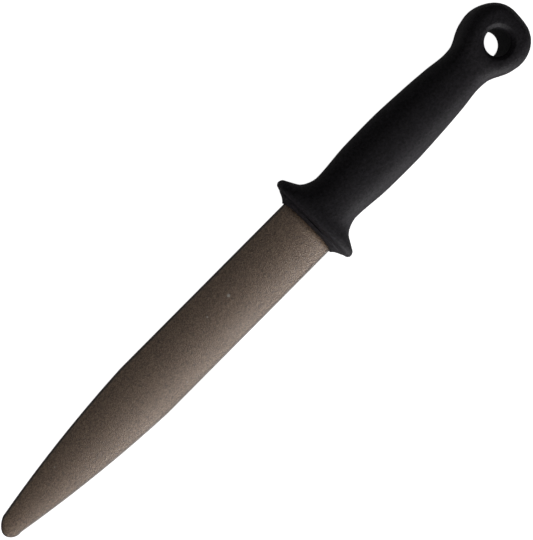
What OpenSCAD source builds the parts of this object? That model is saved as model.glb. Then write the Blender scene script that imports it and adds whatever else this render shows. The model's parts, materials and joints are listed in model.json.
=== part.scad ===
// Flat diamond sharpening steel: a lens-section blade with a blunt nose, plated with
// diamond grit, and a black moulded handle with a guard, a waisted grip and a round
// pommel with a hanging hole.
//
// Frame: the steel lies flat. +X runs along it towards the tip, Y across its width and
// +Z up. The origin is under the middle of its length, on the surface it lies on.

/* [Blade] */
// Length of the blade in front of the handle
blade_len = 200; // [150:5:230]
// Width along the parallel part
blade_w = 31; // [27:0.5:33]
// Thickness along the middle
blade_t = 7; // [5:0.5:8]
// Thickness of the blunt long edges
edge_t = 2.4; // [1.6:0.2:3]
// Length of the pointed part
point_len = 93; // [80:1:100]
// Length of the rounded nose
nose_len = 5.6; // [4:0.2:8]
// Distance by which the crown of the nose stands off the middle, towards +Y
nose_lean = 1; // [0:0.1:1.5]
// Thickness of the diamond plating
plating_t = 0.25; // [0.1:0.05:0.4]

/* [Tang] */
// Length of the tang behind the blade's shoulders
tang_len = 88; // [60:1:95]
// Width of the tang at the shoulders
tang_w = 15; // [12:0.5:17]
// Width of the tang at its end
tang_end_w = 10; // [8:0.5:12]
// Thickness of the tang
tang_t = 4; // [3:0.5:5]
// Diameter of the holes that lock the moulding to the tang
lock_hole_d = 6; // [4:0.5:7]

/* [Handle] */
// Length of the handle, from its collar to the end of the pommel
handle_len = 140; // [136:1:150]
// Thickness over the guard and the pommel
handle_t = 20; // [19:0.5:22]
// Depth to which the blade is buried in the collar
root_len = 3; // [2:0.5:4]
// Diameter of the hanging hole
hang_hole_d = 13; // [10:0.5:14]
// Distance of the hanging hole's centre off the middle, towards +Y
hang_hole_y = 0.7; // [0:0.1:1]
// Width of the flared mouth on each end of the hanging hole
mouth_w = 1.8; // [1:0.1:2.4]
// Depth of each flared mouth
mouth_depth = 1.6; // [1:0.1:3]

/* [Handle core] */
// Width of the core under the grip
core_w = 20; // [18:0.5:21]
// Width of the core at its rear end
core_end_w = 14; // [12:0.5:15]
// Thickness of the core
core_t = 12; // [11:0.5:13]
// Length of the core
core_len = 102; // [98:1:104]

/* [Hidden] */

total_len = blade_len + handle_len;
tip_x = total_len / 2;
collar_x = tip_x - blade_len;
pommel_end_x = -total_len / 2;
mid_z = handle_t / 2;
overlap = 0.5;

// The pointed part leaves the parallel part at a slight angle and curves to the nose
point_angle = 2.8;
point_r = 680;
// Length over which the nose thins to a rounded front
nose_round = 1.6;
// Length over which the nose leans
nose_lean_len = 6.2;
// How fast the middle thins as the point narrows
point_thinning = 1.7;
// Distances behind the tip at which the blade's sections stand
point_stations = [0.02, 0.2, 0.6, 1.2, 2, 3, 4.2, 5.6, 8, 14, 22, 31, 41, 52, 64, 78, 93];

// Sections of the handle: distance behind the collar's front, half width, half
// thickness, and squareness of the outline (2 is an ellipse)
handle_sections = [
    [0, 16.2, 5.6, 2.3],
    [1, 17.2, 6.3, 2.3],
    [2.2, 19.1, 6.6, 2.3],
    [3.2, 21.9, 7, 2.3],
    [4.2, 23.9, 9, 2.2],
    [5.6, 24.6, 10, 2.2],
    [7.4, 24, 9.9, 2.2],
    [9.4, 20.8, 9.5, 2.2],
    [12, 16.5, 9.1, 2.2],
    [15.8, 14.1, 8.9, 2.2],
    [20, 13.1, 8.8, 2.2],
    [40, 14.5, 9.5, 2.2],
    [56, 14.7, 9.8, 2.2],
    [77, 13.8, 9.6, 2.2],
    [92, 12.6, 9.2, 2.3],
    [103.5, 11.3, 9, 2.5],
    [107.5, 11.4, 9.3, 3],
    [111.5, 12.6, 10, 3.6],
    [115, 14.4, 10.4, 4],
    [119, 16, 10.5, 4],
    [125, 17, 10.5, 4]
];
pommel_u = 125;
pommel_half_w = 17;
pommel_reach = handle_len - pommel_u;
// Squareness of the pommel's outline from above, and of its end from the side
pommel_square = 2.05;
end_round = 8.5;
end_square = 2.4;
// Centre of the hanging hole, behind the collar's front
hang_hole_u = 122.5;
hang_hole_x = collar_x - hang_hole_u;

core_corner_r = 4.5;
core_front_u = root_len;
core_taper_u = 68;
// Grooves that lock the overmould to the core
groove_depth = 1;
groove_w = 5;
groove_count = 5;
groove_pitch = 17;
first_groove_u = 18;

lock_hole_u = [22, 48, 74];

// ---- Blade form ----

function point_fall(back) = back * tan(point_angle) + back * back / (2 * point_r);

function plan_half(d) =
    blade_w / 2 - (d < point_len ? point_fall(point_len - d) : 0);

function round_in(d, length) = d < length ? sqrt(1 - pow(1 - d / length, 2)) : 1;

function half_width(d) = plan_half(d) * round_in(d, nose_len);

function half_middle(d) =
    edge_t / 2 + (blade_t - edge_t) / 2 * pow(2 * plan_half(d) / blade_w, point_thinning);

function lean(d) = nose_lean * (1 - pow(min(d / nose_lean_len, 1), 2));

// Outline of one section, from the +Y edge over the top to the -Y edge and back below.
// inset is the distance by which it lies inside the finished surface.
edge_steps = 4;
face_steps = 8;

function edge_points(w, r, side) = [
    for (i = [0:edge_steps])
        let (turn = -90 + 180 * i / edge_steps)
        [side * (w - r + r * cos(turn)), side * r * sin(turn)]
];

function face_points(w, r, middle, side) = [
    for (i = [1:face_steps - 1])
        let (across = 1 - 2 * i / face_steps)
        [side * (w - r) * across, side * (r + (middle - r) * (1 - across * across))]
];

function blade_section(d, inset) =
    let (thin = round_in(d, nose_round))
    let (w = half_width(d) - inset)
    let (r = min(edge_t / 2 * thin - inset, w * 0.9))
    let (middle = half_middle(d) * thin - inset)
    let (outline = concat(
        edge_points(w, r, 1), face_points(w, r, middle, 1),
        edge_points(w, r, -1), face_points(w, r, middle, -1)
    ))
    [for (p = outline) [p[0] + lean(d), p[1]]];

// Closed skin over a row of sections, each given as [x, outline points]
module skin(sections) {
    rings = len(sections);
    sides = len(sections[0][1]);
    points = [
        for (ring = sections)
            for (p = ring[1])
                [ring[0], p[0], p[1]]
    ];
    walls = [
        for (i = [0:rings - 2])
            for (j = [0:sides - 1])
                let (k = (j + 1) % sides)
                let (a = i * sides, b = a + sides)
                each [[a + j, b + k, b + j], [a + j, a + k, b + k]]
    ];
    front = [[for (j = [sides - 1:-1:0]) j]];
    back = [[for (j = [0:sides - 1]) (rings - 1) * sides + j]];
    polyhedron(points, concat(walls, front, back));
}

module blade_form(inset, length) {
    stations = concat([for (d = point_stations) max(d, inset + 0.02)], [length]);
    first = inset > 0 ? 2 : 0;
    skin([
        for (i = [first:len(stations) - 1])
            [tip_x - (i == 0 ? 0 : stations[i]), blade_section(stations[i], inset)]
    ]);
}

// ---- Tang ----

module tang_form() {
    front = collar_x - root_len + overlap;
    back = collar_x - root_len - tang_len;
    difference() {
        translate([0, 0, -tang_t / 2])
            linear_extrude(tang_t)
                polygon([
                    [front, tang_w / 2],
                    [front, -tang_w / 2],
                    [back, -tang_end_w / 2],
                    [back, tang_end_w / 2]
                ]);
        for (u = lock_hole_u)
            translate([collar_x - root_len - u, 0, 0])
                cylinder(h = tang_t + 1, d = lock_hole_d, center = true, $fn = 48);
    }
}

// ---- Handle form ----

// Slope of column c at row i: zero at a crest, otherwise the harmonic mean
function rise(t, i, c) = (t[i + 1][c] - t[i][c]) / (t[i + 1][0] - t[i][0]);

function slope(t, i, c) =
    i == 0 ? rise(t, 0, c) :
    i == len(t) - 1 ? 0 :
    let (a = rise(t, i - 1, c), b = rise(t, i, c))
    a * b <= 0 ? 0 : 2 * a * b / (a + b);

function row_before(t, u, i = 0) = i < len(t) - 2 && u > t[i + 1][0] ? row_before(t, u, i + 1) : i;

// Smooth value of column c of the section table at distance u
function smooth(t, u, c) =
    let (i = row_before(t, u))
    let (span = t[i + 1][0] - t[i][0], s = (u - t[i][0]) / span)
    let (a = t[i][c], b = t[i + 1][c])
    let (m = slope(t, i, c) * span, n = slope(t, i + 1, c) * span)
    a + s * (m + s * (3 * (b - a) - 2 * m - n + s * (2 * (a - b) + m + n)));

function closing(x, length, square) = pow(1 - pow(min(x / length, 1), square), 1 / square);

function handle_half_w(u) =
    u <= pommel_u
        ? smooth(handle_sections, u, 1)
        : pommel_half_w * closing(u - pommel_u, pommel_reach, pommel_square);

function handle_half_t(u) =
    smooth(handle_sections, min(u, pommel_u), 2)
        * closing(max(u - handle_len + end_round, 0), end_round, end_square);

handle_sides = 36;

function signed_power(v, e) = sign(v) * pow(abs(v), e);

function handle_outline(u) =
    let (w = handle_half_w(u), t = handle_half_t(u))
    let (e = 2 / smooth(handle_sections, min(u, pommel_u), 3))
    [
        for (i = [0:handle_sides - 1])
            let (turn = 360 * (i + 0.5) / handle_sides)
            [w * signed_power(cos(turn), e), t * signed_power(sin(turn), e)]
    ];

guard_stations = [0, 0.4, 1, 1.7, 2.5, 3.2, 3.7, 4.2, 4.9, 5.6, 6.5, 7.4, 8.4, 9.4, 10.6, 12];
grip_stations = [13.8, 16, 20, 26, 34, 44, 56, 67, 77, 85, 92, 98, 103.5];
pommel_stations = [105.5, 107.5, 109.5, 111.5, 113.5, 116, 119, 122, 125, 128, 131];
end_turns = [20:10:80];

module handle_form() {
    rounded_end = handle_len - end_round;
    end_stations = concat(
        [for (turn = end_turns) rounded_end + end_round * sin(turn)],
        [handle_len - 0.03]
    );
    stations = concat(guard_stations, grip_stations, pommel_stations, end_stations);
    last = len(stations) - 1;
    intersection() {
        skin([
            for (i = [0:last])
                [collar_x - (i == last ? handle_len : stations[i]), handle_outline(stations[i])]
        ]);
        translate([collar_x - handle_len / 2, 0, 0])
            cube([handle_len + 2, 60, handle_t], center = true);
    }
}

module hang_hole() {
    r = hang_hole_d / 2;
    reach = handle_t / 2;
    throat = reach - mouth_depth;
    past = 1;
    outer_r = r + mouth_w * (1 + past / mouth_depth);
    translate([hang_hole_x, hang_hole_y, 0])
        rotate_extrude($fn = 96)
            polygon([
                [0, -reach - past],
                [outer_r, -reach - past],
                [r, -throat],
                [r, throat],
                [outer_r, reach + past],
                [0, reach + past]
            ]);
}

// ---- Core form ----

module rounded_bar(width, thickness, corner_r, length) {
    $fn = 48;
    rotate([0, -90, 0])
        linear_extrude(length)
            union() {
                square([thickness - 2 * corner_r, width], center = true);
                square([thickness, width - 2 * corner_r], center = true);
                for (a = [-1, 1], b = [-1, 1])
                    translate([a * (thickness / 2 - corner_r), b * (width / 2 - corner_r)])
                        circle(r = corner_r);
            }
}

module core_form() {
    front = collar_x - core_front_u;
    taper = collar_x - core_taper_u;
    back = front - core_len;
    difference() {
        intersection() {
            translate([front, 0, 0])
                rounded_bar(core_w, core_t, core_corner_r, core_len);
            translate([0, 0, -core_t])
                linear_extrude(2 * core_t)
                    polygon([
                        [front + 1, core_w],
                        [front + 1, -core_w],
                        [taper, -core_w / 2],
                        [back, -core_end_w / 2],
                        [back, core_end_w / 2],
                        [taper, core_w / 2]
                    ]);
        }
        for (i = [0:groove_count - 1])
            for (side = [-1, 1])
                translate([collar_x - first_groove_u - i * groove_pitch, 0, side * core_t / 2])
                    cube([groove_w, core_w + 1, 2 * groove_depth], center = true);
    }
}

// ---- Pieces ----

module steel_core() {
    color([0.62, 0.62, 0.64])
        translate([0, 0, mid_z]) {
            blade_form(plating_t, blade_len + root_len);
            tang_form();
        }
}

module diamond_plating() {
    color([0.36, 0.31, 0.27])
        translate([0, 0, mid_z])
            difference() {
                blade_form(0, blade_len + root_len);
                blade_form(plating_t, blade_len + root_len + 1);
            }
}

module handle_core() {
    color([0.2, 0.2, 0.22])
        translate([0, 0, mid_z])
            difference() {
                core_form();
                tang_form();
            }
}

module handle_overmould() {
    color([0.07, 0.07, 0.075])
        translate([0, 0, mid_z])
            difference() {
                handle_form();
                hang_hole();
                core_form();
                blade_form(0, blade_len + root_len);
            }
}

steel_core();
diamond_plating();
handle_core();
handle_overmould();
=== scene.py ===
"""Looks for the flat diamond sharpening steel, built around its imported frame.

The steel lies flat: +X runs towards the tip, Y across the blade and +Z up.
Everything is in metres.
"""

import json
import math

import bmesh
import bpy
from mathutils import Matrix, Vector


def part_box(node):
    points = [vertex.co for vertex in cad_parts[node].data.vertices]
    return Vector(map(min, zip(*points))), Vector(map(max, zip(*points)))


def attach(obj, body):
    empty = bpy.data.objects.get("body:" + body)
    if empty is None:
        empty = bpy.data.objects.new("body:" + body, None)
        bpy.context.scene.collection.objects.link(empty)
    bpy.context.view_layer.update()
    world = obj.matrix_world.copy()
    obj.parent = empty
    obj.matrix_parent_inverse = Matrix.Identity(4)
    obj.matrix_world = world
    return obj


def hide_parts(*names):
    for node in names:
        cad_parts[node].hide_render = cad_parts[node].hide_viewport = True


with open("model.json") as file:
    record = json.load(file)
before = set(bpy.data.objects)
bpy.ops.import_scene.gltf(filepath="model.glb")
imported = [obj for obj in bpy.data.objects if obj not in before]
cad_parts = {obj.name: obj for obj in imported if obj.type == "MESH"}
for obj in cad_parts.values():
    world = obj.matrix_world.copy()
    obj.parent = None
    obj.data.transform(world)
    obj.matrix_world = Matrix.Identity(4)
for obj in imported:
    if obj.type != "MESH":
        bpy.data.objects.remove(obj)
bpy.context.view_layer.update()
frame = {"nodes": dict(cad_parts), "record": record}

MM = 0.001

# ---- Sizes taken from the frame ----

PLATING_LOW, PLATING_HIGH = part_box("diamond_plating")
HANDLE_LOW, HANDLE_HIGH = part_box("handle_overmould")
HANG_HOLE = next(m for m in frame["record"]["mounts"] if m["name"] == "hang_hole")

TIP_X = PLATING_HIGH.x
COLLAR_X = HANDLE_HIGH.x
ROOT_X = PLATING_LOW.x
HANDLE_LEN = HANDLE_HIGH.x - HANDLE_LOW.x
HANDLE_T = HANDLE_HIGH.z - HANDLE_LOW.z
MID_Z = (HANDLE_HIGH.z + HANDLE_LOW.z) / 2
BLADE_HALF_W = (PLATING_HIGH.y - PLATING_LOW.y) / 2
BLADE_HALF_T = (PLATING_HIGH.z - PLATING_LOW.z) / 2
HOLE_X, HOLE_Y = HANG_HOLE["pos_m"][:2]
HOLE_R = HANG_HOLE["dims"]["r_mm"] * MM
HOLE_THROAT = HANG_HOLE["dims"]["length_mm"] * MM

# ---- Blade form ----

EDGE_HALF_T = 1.2 * MM
POINT_LEN = 93 * MM
POINT_ANGLE = math.radians(2.8)
POINT_R = 680 * MM
NOSE_LEN = 5.6 * MM
NOSE_ROUND = 1.6 * MM
NOSE_LEAN = 1.0 * MM
NOSE_LEAN_LEN = 6.2 * MM
POINT_THINNING = 1.7
EDGE_MOST = 0.9  # Most of the half width that an edge's round may take


def round_in(d, length):
    """Rises from 0 to 1 over length, as a quarter of an ellipse."""
    return math.sqrt(1 - (1 - d / length) ** 2) if d < length else 1.0


def plan_half(d):
    """Half width d behind the tip, before the nose is rounded."""
    back = max(POINT_LEN - d, 0)
    return BLADE_HALF_W - back * math.tan(POINT_ANGLE) - back * back / (2 * POINT_R)


def lean(d):
    """How far the nose's crown stands off the middle."""
    return NOSE_LEAN * (1 - min(d / NOSE_LEAN_LEN, 1) ** 2)


def blade_half_w(d):
    return plan_half(d) * round_in(d, NOSE_LEN)


def blade_section(d, share, gap=0.0):
    """Point (y, z) of the blade's outline, or of one that stands gap outside it.

    d is the distance behind the tip. share runs from 0 to 4 round the outline:
    +Y edge, upper face, -Y edge, lower face.
    """
    thin = round_in(d, NOSE_ROUND)
    w = blade_half_w(d)
    fullness = (plan_half(d) / BLADE_HALF_W) ** POINT_THINNING
    middle = thin * (EDGE_HALF_T + (BLADE_HALF_T - EDGE_HALF_T) * fullness)
    r = min(EDGE_HALF_T * thin, w * EDGE_MOST)
    side = 1 if share < 2 else -1
    part = share % 2
    if part < 1:
        turn = math.radians(-90 + 180 * part)
        y = w - r + (r + gap) * math.cos(turn)
        z = (r + gap) * math.sin(turn)
    else:
        across = 1 - 2 * (part - 1)
        y = (w - r) * across
        z = r + gap + (middle - r) * (1 - across * across)
    return side * y + lean(d), side * z


# ---- Handle form ----

# Distance behind the collar's front, half width, half thickness and squareness, where
# 2 is an ellipse and more is squarer. Sizes in this section are in millimetres.
HANDLE_SECTIONS = [
    (0, 16.2, 5.6, 2.3),
    (1, 17.2, 6.3, 2.3),
    (2.2, 19.1, 6.6, 2.3),
    (3.2, 21.9, 7, 2.3),
    (4.2, 23.9, 9, 2.2),
    (5.6, 24.6, 10, 2.2),
    (7.4, 24, 9.9, 2.2),
    (9.4, 20.8, 9.5, 2.2),
    (12, 16.5, 9.1, 2.2),
    (15.8, 14.1, 8.9, 2.2),
    (20, 13.1, 8.8, 2.2),
    (40, 14.5, 9.5, 2.2),
    (56, 14.7, 9.8, 2.2),
    (77, 13.8, 9.6, 2.2),
    (92, 12.6, 9.2, 2.3),
    (103.5, 11.3, 9, 2.5),
    (107.5, 11.4, 9.3, 3),
    (111.5, 12.6, 10, 3.6),
    (115, 14.4, 10.4, 4),
    (119, 16, 10.5, 4),
    (125, 17, 10.5, 4),
]
POMMEL_U = 125.0
POMMEL_HALF_W = 17.0
POMMEL_SQUARE = 2.05
END_ROUND = 8.5
END_SQUARE = 2.4
HANDLE_U = HANDLE_LEN / MM
COLLAR_BOW = 1.3
COLLAR_BOW_FADE = 3.0
COLLAR_BOW_SHAPE = 6
PARTING_RIDGE = 0.07
COLLAR_LINE_U = 3.3
COLLAR_LINE_DEPTH = 0.75
COLLAR_LINE_W = 0.4
LIP_LENGTH = 1.8
LIP_DROP = 1.6


def rise(i, c):
    """Slope of column c from row i of the section table to the next row."""
    a, b = HANDLE_SECTIONS[i], HANDLE_SECTIONS[i + 1]
    return (b[c] - a[c]) / (b[0] - a[0])


def slope(i, c):
    """Zero at a crest, otherwise the harmonic mean of the slopes on both sides."""
    if i == 0:
        return rise(0, c)
    if i == len(HANDLE_SECTIONS) - 1:
        return 0.0
    a, b = rise(i - 1, c), rise(i, c)
    return 0.0 if a * b <= 0 else 2 * a * b / (a + b)


def smooth(u, c):
    """Value of column c of the section table at u mm behind the collar's front."""
    u = min(u, POMMEL_U)
    i = 0
    while i < len(HANDLE_SECTIONS) - 2 and u > HANDLE_SECTIONS[i + 1][0]:
        i += 1
    a, b = HANDLE_SECTIONS[i], HANDLE_SECTIONS[i + 1]
    span = b[0] - a[0]
    s = (u - a[0]) / span
    m, n = slope(i, c) * span, slope(i + 1, c) * span
    lift = b[c] - a[c]
    return a[c] + s * (m + s * (3 * lift - 2 * m - n + s * (m + n - 2 * lift)))


def closing(x, length, square):
    """Falls from 1 to 0 over length; square says how full the round is."""
    return (1 - min(x / length, 1) ** square) ** (1 / square)


def handle_half_w(u):
    if u <= POMMEL_U:
        return smooth(u, 1)
    return POMMEL_HALF_W * closing(u - POMMEL_U, HANDLE_U - POMMEL_U, POMMEL_SQUARE)


def handle_half_t(u):
    return smooth(u, 2) * closing(max(u - HANDLE_U + END_ROUND, 0), END_ROUND, END_SQUARE)


def signed_power(v, e):
    """The power e of v's size, with v's own sign."""
    return math.copysign(abs(v) ** e, v)


def handle_point(u, turn):
    """Point on the handle's skin, u mm behind the collar's front, at turn round it."""
    off_line = (u - COLLAR_LINE_U) / COLLAR_LINE_W
    line = COLLAR_LINE_DEPTH * math.exp(-off_line * off_line)
    w, t = handle_half_w(u) - line, handle_half_t(u) - line
    t -= LIP_DROP * max(0, 1 - u / LIP_LENGTH)
    e = 2 / smooth(u, 3)
    y = w * signed_power(math.cos(turn), e)
    z = t * signed_power(math.sin(turn), e)
    bow = COLLAR_BOW * max(0, 1 - u / COLLAR_BOW_FADE)
    bow *= 1 - min(abs(y) / w, 1) ** COLLAR_BOW_SHAPE
    on_parting_line = abs(math.sin(turn)) < 1e-6
    if on_parting_line:
        y += math.copysign(PARTING_RIDGE, y)
    return Vector((COLLAR_X - (u + bow) * MM, y * MM, MID_Z + z * MM))


# ---- Modelling helpers ----

WELD_REACH = 1e-6


def deselect():
    if bpy.context.object and bpy.context.object.mode != "OBJECT":
        bpy.ops.object.mode_set(mode="OBJECT")
    bpy.ops.object.select_all(action="DESELECT")


def only(piece):
    deselect()
    piece.select_set(True)
    bpy.context.view_layer.objects.active = piece


def tube(name, sides, rings):
    """A closed tube along X with evenly spaced rings, ready to be shaped ring by ring."""
    deselect()
    bpy.ops.mesh.primitive_cylinder_add(
        vertices=sides,
        radius=1,
        depth=2,
        rotation=(0, math.pi / 2, 0),
        end_fill_type="NGON",
    )
    piece = bpy.context.object
    piece.name = name
    piece.data.name = name
    bpy.ops.object.transform_apply(location=True, rotation=True, scale=True)
    bpy.ops.object.mode_set(mode="EDIT")
    bpy.ops.mesh.select_all(action="DESELECT")
    bm = bmesh.from_edit_mesh(piece.data)
    for edge in bm.edges:
        a, b = edge.verts
        runs_along = abs(a.co.x - b.co.x) > 1
        edge.select = runs_along
    bmesh.update_edit_mesh(piece.data)
    bpy.ops.mesh.subdivide(number_cuts=rings - 2)
    bpy.ops.object.mode_set(mode="OBJECT")
    return piece


def shape_tube(piece, sides, rings, place):
    """Moves each vertex to place(ring, side); ring 0 is the one nearest the tip."""
    for v in piece.data.vertices:
        ring = round((1 - v.co.x) / 2 * (rings - 1))
        side = round(math.atan2(v.co.z, v.co.y) / (2 * math.pi / sides)) % sides
        v.co = place(ring, side)


def edit_all(piece, operator, **settings):
    """Runs an edit mode operator on the whole of piece's mesh."""
    only(piece)
    bpy.ops.object.mode_set(mode="EDIT")
    bpy.ops.mesh.select_all(action="SELECT")
    operator(**settings)
    bpy.ops.object.mode_set(mode="OBJECT")


def outwards(piece):
    edit_all(piece, bpy.ops.mesh.normals_make_consistent, inside=False)


def weld(piece):
    """Merges points that lie no more than a micrometre apart."""
    edit_all(piece, bpy.ops.mesh.remove_doubles, threshold=WELD_REACH)


def flat_faces(piece):
    """Splits bent faces into triangles, so that cuts and the export meet flat ones."""
    split = bpy.ops.mesh.quads_convert_to_tris
    edit_all(piece, split, quad_method="BEAUTY", ngon_method="BEAUTY")


def smooth_shading(piece, degrees):
    """Shades piece smooth, apart from edges that turn by more than degrees."""
    only(piece)
    bpy.ops.object.shade_smooth_by_angle(angle=math.radians(degrees))


def cut(piece, cutter):
    """Takes cutter's solid away from piece."""
    only(piece)
    away = piece.modifiers.new("cut", "BOOLEAN")
    away.operation = "DIFFERENCE"
    away.solver = "EXACT"
    away.object = cutter
    bpy.ops.object.modifier_apply(modifier=away.name)
    bpy.data.objects.remove(cutter)


def solid_copy(name, growth=0.0):
    """A closed copy of a frame part, grown by growth, to cut its room out of a piece."""
    original = frame["nodes"][name]
    copy = original.copy()
    copy.data = original.data.copy()
    bpy.context.scene.collection.objects.link(copy)
    copy.hide_set(False)
    weld(copy)
    normals = [v.normal.copy() for v in copy.data.vertices]
    for v, normal in zip(copy.data.vertices, normals):
        v.co += normal * growth
    return copy


# ---- Plated blade ----

BLADE_SIDES = 112
BLADE_EDGE_SHARE = 12
NOSE_STEPS = [0.02, 0.08, 0.2, 0.4, 0.7, 1, 1.4, 1.8, 2.3, 2.8, 3.4, 4, 4.7, 5.6, 6.2, 7]
POINT_STEP = 1.6 * MM
BODY_STEPS = 24
# Width and fade of the strip along the blade's outline where shade is painted into the
# grit's colour
EDGE_LINE = 0.7 * MM
EDGE_LINE_FADE = 0.6 * MM
BLADE_CREASE = 50  # Degrees past which an edge stays sharp


def blade_share(side):
    """Spreads the outline's vertices: a dozen round each edge, the rest over the faces."""
    half = BLADE_SIDES // 2
    turn, step = divmod(side, half)
    if step < BLADE_EDGE_SHARE:
        return 2 * turn + step / BLADE_EDGE_SHARE
    return 2 * turn + 1 + (step - BLADE_EDGE_SHARE) / (half - BLADE_EDGE_SHARE)


def mark_painted_edge_shade(blade):
    """Stores how far each point lies in the strip along the outline where shade is painted
    into the grit's colour.
    """
    edge_shade_mask = blade.data.attributes.new("painted_edge_shade", "FLOAT", "POINT")
    for v in blade.data.vertices:
        d = max(TIP_X - v.co.x, 0)
        inside = min(blade_half_w(d) - abs(v.co.y - lean(d)), d)
        share = (EDGE_LINE + EDGE_LINE_FADE - inside) / EDGE_LINE_FADE
        edge_shade_mask.data[v.index].value = min(max(share, 0), 1)


def blade_stations():
    """Distances behind the tip, closest at the nose and widest along the body."""
    stations = [s * MM for s in NOSE_STEPS]
    d = stations[-1]
    while d < POINT_LEN:
        d += POINT_STEP
        stations.append(d)
    body = TIP_X - ROOT_X - d
    stations += [d + body * i / BODY_STEPS for i in range(1, BODY_STEPS + 1)]
    return stations


def make_plated_blade():
    """The plating's outer skin, hollowed out to the steel that it covers."""
    stations = blade_stations()
    rings = len(stations)
    blade = tube("plated_blade", BLADE_SIDES, rings)

    def place(ring, side):
        y, z = blade_section(stations[ring], blade_share(side))
        x = TIP_X - (0 if ring == 0 else stations[ring])
        return Vector((x, y, MID_Z + z))

    shape_tube(blade, BLADE_SIDES, rings, place)
    outwards(blade)
    cut(blade, solid_copy("steel_core"))
    mark_painted_edge_shade(blade)
    smooth_shading(blade, BLADE_CREASE)
    return blade


# ---- Moulded handle ----

FACE_TURNS = 46
SEAM_TURNS = [0, 0.018, 0.036]  # Radians from the parting line
# Up to each distance behind the collar's front, how far apart the rings stand, in mm
STATION_STEPS = [(8, 0.15), (14, 0.3), (100, 0.9), (HANDLE_U, 0.6)]
END_STEPS = 24
LAST_RING_GAP = 0.004  # Keeps the pommel's end from closing to a line
HANDLE_CREASE = 32

HOLE_SIDES = 128
HOLE_RINGS = 61
MOUTH_W = 1.8 * MM
MOUTH_SOFTNESS = 0.08 * MM
LIP_START = 0.88
LIP_FLARE = 0.5
CUTTER_REACH = 0.6 * MM

STEEL_ROOM = 0.02 * MM
POCKET_GAP = 0.35 * MM
# Depth of each ring behind the collar's front, in mm, and its share of the gap
POCKET_DEPTHS = [-1.0, 2.3, 2.7, 3.05]
POCKET_GAPS = [1.0, 1.0, 0.1, 0.1]


def handle_turns():
    """Turns round the handle: even ones, with close ones beside the parting line."""
    half = list(SEAM_TURNS)
    last = SEAM_TURNS[-1]
    half += [last + (math.pi - 2 * last) * i / FACE_TURNS for i in range(1, FACE_TURNS)]
    half += [math.pi - t for t in reversed(SEAM_TURNS[1:])]
    return half + [t + math.pi for t in half]


def handle_stations():
    """Distances behind the collar's front, close together where the form turns fast."""
    end = HANDLE_U - END_ROUND
    u = 0.0
    stations = [u]
    while u < end:
        u += next(step for limit, step in STATION_STEPS if u < limit)
        stations.append(u)
    stations[-1] = end
    for i in range(1, END_STEPS):
        turn = math.radians(90 * i / END_STEPS)
        stations.append(end + END_ROUND * math.sin(turn))
    stations.append(HANDLE_U - LAST_RING_GAP)
    return stations


def soft_rise(x):
    """Zero below 0 and x above it, with a small round in between."""
    return (x + math.hypot(x, 2 * MOUTH_SOFTNESS)) / 2


def make_hole_cutter():
    """The hanging hole's throat, its two flared mouths and their softened lips."""
    cutter = tube("hole_cutter", HOLE_SIDES, HOLE_RINGS)
    mouth_depth = (HANDLE_T - HOLE_THROAT) / 2
    reach = HANDLE_T / 2 + CUTTER_REACH

    def place(ring, side):
        h = reach * (1 - 2 * ring / (HOLE_RINGS - 1))
        past = abs(h) - HOLE_THROAT / 2
        r = HOLE_R + MOUTH_W / mouth_depth * soft_rise(past)
        r += LIP_FLARE * soft_rise(past - LIP_START * mouth_depth)
        turn = 2 * math.pi * side / HOLE_SIDES
        x, y = HOLE_X + r * math.cos(turn), HOLE_Y + r * math.sin(turn)
        return Vector((x, y, MID_Z + h))

    shape_tube(cutter, HOLE_SIDES, HOLE_RINGS, place)
    outwards(cutter)
    return cutter


def make_pocket_cutter():
    """The mouth in the collar, a hair wider than the blade that stands in it."""
    rings = len(POCKET_DEPTHS)
    cutter = tube("pocket_cutter", BLADE_SIDES, rings)

    def place(ring, side):
        x = COLLAR_X - POCKET_DEPTHS[ring] * MM
        gap = POCKET_GAP * POCKET_GAPS[ring]
        y, z = blade_section(TIP_X - x, blade_share(side), gap)
        return Vector((x, y, MID_Z + z))

    shape_tube(cutter, BLADE_SIDES, rings, place)
    outwards(cutter)
    return cutter


def make_handle():
    """The outer moulding, open for the hanging hole, the blade, the core and the tang."""
    stations = handle_stations()
    turns = handle_turns()
    rings, sides = len(stations), len(turns)
    handle = tube("moulded_handle", sides, rings)
    top = HANDLE_T / 2

    def place(ring, side):
        p = handle_point(stations[ring], turns[side])
        if ring == rings - 1:
            p.x = COLLAR_X - HANDLE_LEN
        p.z = min(max(p.z, MID_Z - top), MID_Z + top)
        return p

    shape_tube(handle, sides, rings, place)
    outwards(handle)
    flat_faces(handle)
    cut(handle, make_hole_cutter())
    cut(handle, make_pocket_cutter())
    cut(handle, solid_copy("handle_core"))
    cut(handle, solid_copy("steel_core", STEEL_ROOM))
    weld(handle)
    flat_faces(handle)
    smooth_shading(handle, HANDLE_CREASE)
    return handle


# ---- Materials ----

TONE_FINENESS = 0.45  # The tone's grain against the relief's; below 1 is coarser


def new_material(name):
    """A material with one Principled shader; gives back both."""
    m = bpy.data.materials.new(name)
    m.use_nodes = True
    nodes = m.node_tree.nodes
    nodes.clear()
    out = nodes.new("ShaderNodeOutputMaterial")
    skin = nodes.new("ShaderNodeBsdfPrincipled")
    m.node_tree.links.new(skin.outputs["BSDF"], out.inputs["Surface"])
    return m, skin


def add(tree, kind, **values):
    """A node with its settings; a key that names an input sets that input."""
    node = tree.nodes.new(kind)
    for key, value in values.items():
        if hasattr(node, key):
            setattr(node, key, value)
        else:
            node.inputs[key.replace("_", " ")].default_value = value
    return node


def group_tree(name, inputs, outputs):
    """A node group with plain number sockets, and its two end nodes."""
    tree = bpy.data.node_groups.new(name, "ShaderNodeTree")
    number = {"socket_type": "NodeSocketFloat"}
    for label, value in inputs:
        socket = tree.interface.new_socket(label, in_out="INPUT", **number)
        socket.default_value = value
    for label in outputs:
        tree.interface.new_socket(label, in_out="OUTPUT", **number)
    start = tree.nodes.new("NodeGroupInput")
    end = tree.nodes.new("NodeGroupOutput")
    return tree, start, end


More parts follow.
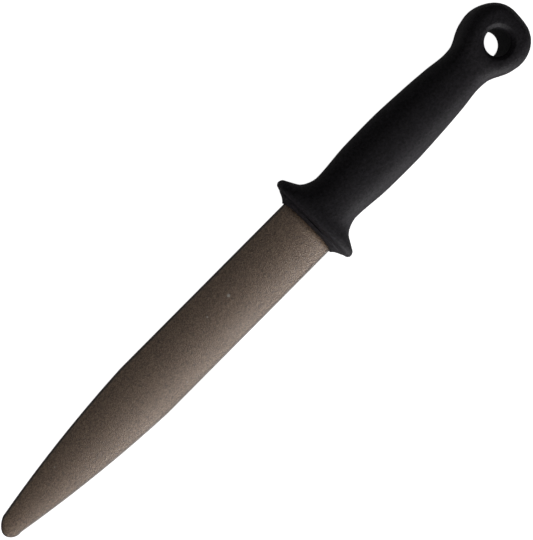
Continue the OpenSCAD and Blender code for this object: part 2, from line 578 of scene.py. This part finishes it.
def scale_of(tree, size_socket, factor=1.0):
    """Turns a size in millimetres into a texture's scale, which is per metre."""
    per_metre = add(tree, "ShaderNodeMath", operation="DIVIDE")
    per_metre.inputs[0].default_value = factor / MM
    tree.links.new(size_socket, per_metre.inputs[1])
    return per_metre.outputs[0]


def scaled_noise(tree, coords, size_socket, detail, rough, factor=1.0):
    """Noise whose grain is as large as size_socket says, in millimetres."""
    noise = add(tree, "ShaderNodeTexNoise", Detail=detail, Roughness=rough)
    tree.links.new(coords.outputs["Object"], noise.inputs["Vector"])
    tree.links.new(scale_of(tree, size_socket, factor), noise.inputs["Scale"])
    return noise


def make_grain_group():
    """Fine relief and slow drift: Height for a bump, Tone and Drift to vary a finish."""
    tree, start, end = group_tree(
        "fine_grain", [("Size", 0.5), ("Drift size", 30)], ["Height", "Tone", "Drift"]
    )
    coords = tree.nodes.new("ShaderNodeTexCoord")
    relief = scaled_noise(tree, coords, start.outputs["Size"], 2, 0.6)
    tone = scaled_noise(tree, coords, start.outputs["Size"], 3, 0.7, TONE_FINENESS)
    drift = scaled_noise(tree, coords, start.outputs["Drift size"], 2, 0.5)
    tree.links.new(relief.outputs["Fac"], end.inputs["Height"])
    tree.links.new(tone.outputs["Fac"], end.inputs["Tone"])
    tree.links.new(drift.outputs["Fac"], end.inputs["Drift"])
    return tree


def scaled_cells(tree, coords, size_socket):
    """Voronoi cells as large as size_socket says, in millimetres."""
    cells = add(tree, "ShaderNodeTexVoronoi", feature="F1")
    tree.links.new(coords.outputs["Object"], cells.inputs["Vector"])
    tree.links.new(scale_of(tree, size_socket), cells.inputs["Scale"])
    return cells


def make_speck_group():
    """Single grains: Height and Tone of packed ones, and a Speck mask of rare ones."""
    tree, start, end = group_tree(
        "grit_specks",
        [("Grain size", 0.3), ("Speck spacing", 4), ("Speck radius", 0.1)],
        ["Height", "Tone", "Speck"],
    )
    coords = tree.nodes.new("ShaderNodeTexCoord")
    grains = scaled_cells(tree, coords, start.outputs["Grain size"])
    tone = tree.nodes.new("ShaderNodeSeparateColor")
    tree.links.new(grains.outputs["Color"], tone.inputs[0])
    rare = scaled_cells(tree, coords, start.outputs["Speck spacing"])
    lot = tree.nodes.new("ShaderNodeSeparateColor")
    tree.links.new(rare.outputs["Color"], lot.inputs[0])
    reach = add(tree, "ShaderNodeMath", operation="MULTIPLY")
    tree.links.new(start.outputs["Speck radius"], reach.inputs[0])
    tree.links.new(lot.outputs[0], reach.inputs[1])
    share = add(tree, "ShaderNodeMath", operation="DIVIDE")
    tree.links.new(reach.outputs[0], share.inputs[0])
    tree.links.new(start.outputs["Speck spacing"], share.inputs[1])
    hit = add(tree, "ShaderNodeMath", operation="LESS_THAN")
    tree.links.new(rare.outputs["Distance"], hit.inputs[0])
    tree.links.new(share.outputs[0], hit.inputs[1])
    strength = add(tree, "ShaderNodeMath", operation="MULTIPLY")
    tree.links.new(hit.outputs[0], strength.inputs[0])
    tree.links.new(lot.outputs[1], strength.inputs[1])
    tree.links.new(grains.outputs["Distance"], end.inputs["Height"])
    tree.links.new(tone.outputs[0], end.inputs["Tone"])
    tree.links.new(strength.outputs[0], end.inputs["Speck"])
    return tree


def use_group(m, group, **values):
    """A group placed in a material with its own values."""
    node = m.node_tree.nodes.new("ShaderNodeGroup")
    node.node_tree = group
    for key, value in values.items():
        node.inputs[key.replace("_", " ")].default_value = value
    return node


def ramp(m, source, low, high, first, second):
    """Colour or grey that goes from first to second as source goes from low to high."""
    node = m.node_tree.nodes.new("ShaderNodeMapRange")
    m.node_tree.links.new(source, node.inputs["Value"])
    node.inputs["From Min"].default_value = low
    node.inputs["From Max"].default_value = high
    if isinstance(first, (int, float)):
        node.inputs["To Min"].default_value = first
        node.inputs["To Max"].default_value = second
        return node.outputs["Result"]
    mix = m.node_tree.nodes.new("ShaderNodeMix")
    mix.data_type = "RGBA"
    m.node_tree.links.new(node.outputs["Result"], mix.inputs["Factor"])
    mix.inputs["A"].default_value = (*first, 1)
    mix.inputs["B"].default_value = (*second, 1)
    return mix.outputs["Result"]


def bump(m, skin, height, depth_mm):
    """Lets a height of 0 to 1 stand for depth_mm of relief."""
    node = m.node_tree.nodes.new("ShaderNodeBump")
    node.inputs["Strength"].default_value = 1.0
    node.inputs["Distance"].default_value = depth_mm * MM
    m.node_tree.links.new(height, node.inputs["Height"])
    m.node_tree.links.new(node.outputs["Normal"], skin.inputs["Normal"])


# Colours are linear, roughnesses run from low to high, and reliefs are in millimetres
GRIT_COLOUR = (0.2006, 0.1173, 0.0558)
GRIT_MOTTLE = (0.88, 1.12)
GRIT_IOR = 2.25
GRIT_ROUGHS = (0.508, 0.588)
GRIT_METAL = 0.0976
GRIT_RELIEF = 0.13
# The two grains multiply the grit's colour; the tone varies at random from grain to grain,
# and the whitish pale end is a painted glint of the diamond facets
DARK_GRAIN = (0.35, 0.2, 0.0)
PALE_GLINT_GRAIN = (1.65, 1.8, 2.2)
# How dark the painted shade along the blade's outline makes the grit
EDGE_PAINTED_SHADE = 0.3
SPECK_COLOUR = (0.75, 0.68, 0.6)

BLACK_COLOUR = (0.0171, 0.015, 0.0184)
BLACK_MOTTLE = (0.3, 1.7)
BLACK_IOR = 1.33
BLACK_ROUGHS = (0.52, 0.6)
BLACK_RELIEF = 0.2

CORE_COLOURS = ((0.05, 0.05, 0.056), (0.065, 0.065, 0.072))
CORE_ROUGHS = (0.5, 0.62)
CORE_RELIEF = 0.02

STEEL_COLOURS = ((0.5, 0.5, 0.51), (0.62, 0.61, 0.6))
STEEL_ROUGHS = (0.28, 0.42)
STEEL_RELIEF = 0.01

NOISE_LOW, NOISE_HIGH = 0.3, 0.7  # Where nearly all of a noise's values lie


def shade(colour, factor):
    return tuple(c * factor for c in colour)


def mix_colour(m, kind, factor, first, second):
    """Mixes two colours; each may be a plain colour or another node's output."""
    mix = m.node_tree.nodes.new("ShaderNodeMix")
    mix.data_type = "RGBA"
    mix.blend_type = kind
    for label, value in (("Factor", factor), ("A", first), ("B", second)):
        socket = next(i for i in mix.inputs if i.name == label and i.enabled)
        if isinstance(value, bpy.types.NodeSocket):
            m.node_tree.links.new(value, socket)
        elif isinstance(value, tuple):
            socket.default_value = (*value, 1)
        else:
            socket.default_value = value
    return next(o for o in mix.outputs if o.enabled)


def spread(m, noise, low_high):
    """A colour or number that varies between two values as the noise does."""
    return ramp(m, noise, NOISE_LOW, NOISE_HIGH, *low_high)


def make_diamond_grit(grain, specks):
    """Nickel-bonded diamond: brown grey grains whose pale ones carry a painted glint, a few
    coarse bright ones, and painted shade along the edges.
    """
    m, skin = new_material("diamond_grit")
    link = m.node_tree.links.new
    g = use_group(m, grain, Size=0.42, Drift_size=40)
    s = use_group(m, specks, Grain_size=0.45, Speck_spacing=9, Speck_radius=0.8)
    edge_shade_mask = add(m.node_tree, "ShaderNodeAttribute", attribute_name="painted_edge_shade")
    mottles = [shade(GRIT_COLOUR, k) for k in GRIT_MOTTLE]
    mottle = spread(m, g.outputs["Tone"], mottles)
    # Grain tone from brown to whitish: random grain tone, with a painted glint at the
    # whitish end
    grains = ramp(m, s.outputs["Tone"], 0, 1, DARK_GRAIN, PALE_GLINT_GRAIN)
    # The grit's colour darkened as painted shade for the blade's edges
    edge = shade(GRIT_COLOUR, EDGE_PAINTED_SHADE)
    colour = mix_colour(m, "MULTIPLY", 1.0, mottle, grains)
    colour = mix_colour(m, "MIX", s.outputs["Speck"], colour, SPECK_COLOUR)
    # Paints the shade into the strip along the blade's outline
    colour = mix_colour(m, "MIX", edge_shade_mask.outputs["Fac"], colour, edge)
    link(colour, skin.inputs["Base Color"])
    link(spread(m, g.outputs["Drift"], GRIT_ROUGHS), skin.inputs["Roughness"])
    skin.inputs["Metallic"].default_value = GRIT_METAL
    skin.inputs["IOR"].default_value = GRIT_IOR
    bump(m, skin, s.outputs["Height"], GRIT_RELIEF)
    return m


def make_grained(name, grain, sizes, colours, roughs, relief):
    """A finish with fine grain: colour, roughness and relief from the grain group."""
    m, skin = new_material(name)
    link = m.node_tree.links.new
    g = use_group(m, grain, **sizes)
    link(spread(m, g.outputs["Tone"], colours), skin.inputs["Base Color"])
    link(spread(m, g.outputs["Drift"], roughs), skin.inputs["Roughness"])
    bump(m, skin, g.outputs["Height"], relief)
    return m, skin


def make_handle_black(grain):
    """Satin black moulded plastic with a fine spark-eroded texture."""
    sizes = {"Size": 0.6, "Drift_size": 25}
    colours = [shade(BLACK_COLOUR, k) for k in BLACK_MOTTLE]
    looks = (colours, BLACK_ROUGHS, BLACK_RELIEF)
    m, skin = make_grained("handle_black", grain, sizes, *looks)
    skin.inputs["IOR"].default_value = BLACK_IOR
    return m


def make_core_plastic(grain):
    """Plain dark grey plastic of the inner shot."""
    sizes = {"Size": 1.2, "Drift_size": 25}
    looks = (CORE_COLOURS, CORE_ROUGHS, CORE_RELIEF)
    return make_grained("core_plastic", grain, sizes, *looks)[0]


def make_ground_steel(grain):
    """Bare ground steel of the blade under its plating, and of the tang."""
    sizes = {"Size": 0.8, "Drift_size": 20}
    looks = (STEEL_COLOURS, STEEL_ROUGHS, STEEL_RELIEF)
    m, skin = make_grained("ground_steel", grain, sizes, *looks)
    skin.inputs["Metallic"].default_value = 1
    return m


def finish_with(piece, material):
    piece.data.materials.clear()
    piece.data.materials.append(material)


# ---- Camera, floor and light ----

EYE = Vector((4.8, -89.3, 457.4)) * MM
AIM = Vector((-3.0, 0.7, 0)) * MM
LENS_MM = 66.6
SENSOR_MM = 36
PICTURE_TURN = math.radians(45.2)

FLOOR_SIZE = 20
FLOOR_COLOUR = (0.8, 0.8, 0.8, 1)
BACKDROP_GLOW = 0.93
FLOOR_LIGHT = 0.0597
WORLD_FILL = 0.0418

LIGHT_DISTANCE = 1.0
KEY_AZIMUTH = 77.5
KEY_ELEVATION = 13.7
KEY_SIZE = (1.2, 0.616)
KEY_POWER = 13.2
TOP_AZIMUTH = 90
TOP_ELEVATION = 88
TOP_SIZE = (1.2, 0.6)
TOP_POWER = 0.76
LOW_AZIMUTH = -90
LOW_ELEVATION = 25
LOW_SIZE = (1.4, 0.3)
LOW_POWER = 0.08


def set_camera():
    """A camera high over the steel, turned so that the steel lies across the picture."""
    middle = Vector((0, 0, MID_Z))
    view = (AIM - EYE).normalized()
    along = Vector((-1, 0, 0))
    along = (along - along.dot(view) * view).normalized()
    across = view.cross(along)
    right = math.cos(PICTURE_TURN) * along + math.sin(PICTURE_TURN) * across
    up = math.sin(PICTURE_TURN) * along - math.cos(PICTURE_TURN) * across
    data = bpy.data.cameras.new("camera")
    data.lens = LENS_MM
    data.sensor_width = SENSOR_MM
    data.clip_start = 0.01
    camera = bpy.data.objects.new("camera", data)
    bpy.context.scene.collection.objects.link(camera)
    place = Matrix((right, up, -view)).transposed().to_4x4()
    place.translation = middle + EYE
    camera.matrix_world = place
    bpy.context.scene.camera = camera


def make_floor():
    """White paper lit a little from behind, with an even glow that only the camera sees."""
    deselect()
    bpy.ops.mesh.primitive_plane_add(size=FLOOR_SIZE, location=(0, 0, HANDLE_LOW.z))
    floor = bpy.context.object
    floor.name = "floor"
    m = bpy.data.materials.new("floor_paper")
    m.use_nodes = True
    nodes, links = m.node_tree.nodes, m.node_tree.links
    nodes.clear()
    out = nodes.new("ShaderNodeOutputMaterial")
    paper = nodes.new("ShaderNodeBsdfDiffuse")
    paper.inputs["Color"].default_value = FLOOR_COLOUR
    glow = nodes.new("ShaderNodeEmission")
    both = nodes.new("ShaderNodeAddShader")
    path = nodes.new("ShaderNodeLightPath")
    seen = nodes.new("ShaderNodeMath")
    seen.operation = "MULTIPLY_ADD"
    seen.inputs[1].default_value = BACKDROP_GLOW
    seen.inputs[2].default_value = FLOOR_LIGHT
    links.new(path.outputs["Is Camera Ray"], seen.inputs[0])
    links.new(seen.outputs[0], glow.inputs["Strength"])
    links.new(paper.outputs[0], both.inputs[0])
    links.new(glow.outputs[0], both.inputs[1])
    links.new(both.outputs[0], out.inputs["Surface"])
    finish_with(floor, m)


def make_world():
    """An even grey room for the steel, which the camera sees as a white backdrop."""
    world = bpy.data.worlds.new("studio")
    bpy.context.scene.world = world
    world.use_nodes = True
    nodes, links = world.node_tree.nodes, world.node_tree.links
    nodes.clear()
    out = nodes.new("ShaderNodeOutputWorld")
    path = nodes.new("ShaderNodeLightPath")
    fill = nodes.new("ShaderNodeBackground")
    fill.inputs["Strength"].default_value = WORLD_FILL
    backdrop = nodes.new("ShaderNodeBackground")
    backdrop.inputs["Strength"].default_value = BACKDROP_GLOW + FLOOR_LIGHT
    for b in (fill, backdrop):
        b.inputs["Color"].default_value = (1, 1, 1, 1)
    pick = nodes.new("ShaderNodeMixShader")
    links.new(path.outputs["Is Camera Ray"], pick.inputs["Fac"])
    links.new(fill.outputs[0], pick.inputs[1])
    links.new(backdrop.outputs[0], pick.inputs[2])
    links.new(pick.outputs[0], out.inputs["Surface"])


def softbox(name, azimuth, elevation, size, power):
    """An area light that faces the middle of the steel from that direction."""
    a, e = math.radians(azimuth), math.radians(elevation)
    way = Vector((math.cos(e) * math.cos(a), math.cos(e) * math.sin(a), math.sin(e)))
    data = bpy.data.lights.new(name, "AREA")
    data.shape = "RECTANGLE"
    data.size, data.size_y = size
    data.energy = power
    light = bpy.data.objects.new(name, data)
    bpy.context.scene.collection.objects.link(light)
    light.location = way * LIGHT_DISTANCE + Vector((0, 0, MID_Z))
    light.rotation_euler = way.to_track_quat("Z", "Y").to_euler()
    light.visible_camera = False


def make_lights():
    softbox("key_box", KEY_AZIMUTH, KEY_ELEVATION, KEY_SIZE, KEY_POWER)
    softbox("top_box", TOP_AZIMUTH, TOP_ELEVATION, TOP_SIZE, TOP_POWER)
    softbox("low_box", LOW_AZIMUTH, LOW_ELEVATION, LOW_SIZE, LOW_POWER)


# ---- Build ----

set_camera()
make_world()
make_floor()
make_lights()
bpy.context.scene.view_settings.view_transform = "Standard"

grain = make_grain_group()
specks = make_speck_group()
diamond_grit = make_diamond_grit(grain, specks)
handle_black = make_handle_black(grain)
core_plastic = make_core_plastic(grain)
ground_steel = make_ground_steel(grain)

blade = make_plated_blade()
finish_with(blade, diamond_grit)
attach(blade, "root")
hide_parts("diamond_plating")

handle = make_handle()
finish_with(handle, handle_black)
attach(handle, "root")
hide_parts("handle_overmould")

finish_with(frame["nodes"]["steel_core"], ground_steel)
finish_with(frame["nodes"]["handle_core"], core_plastic)
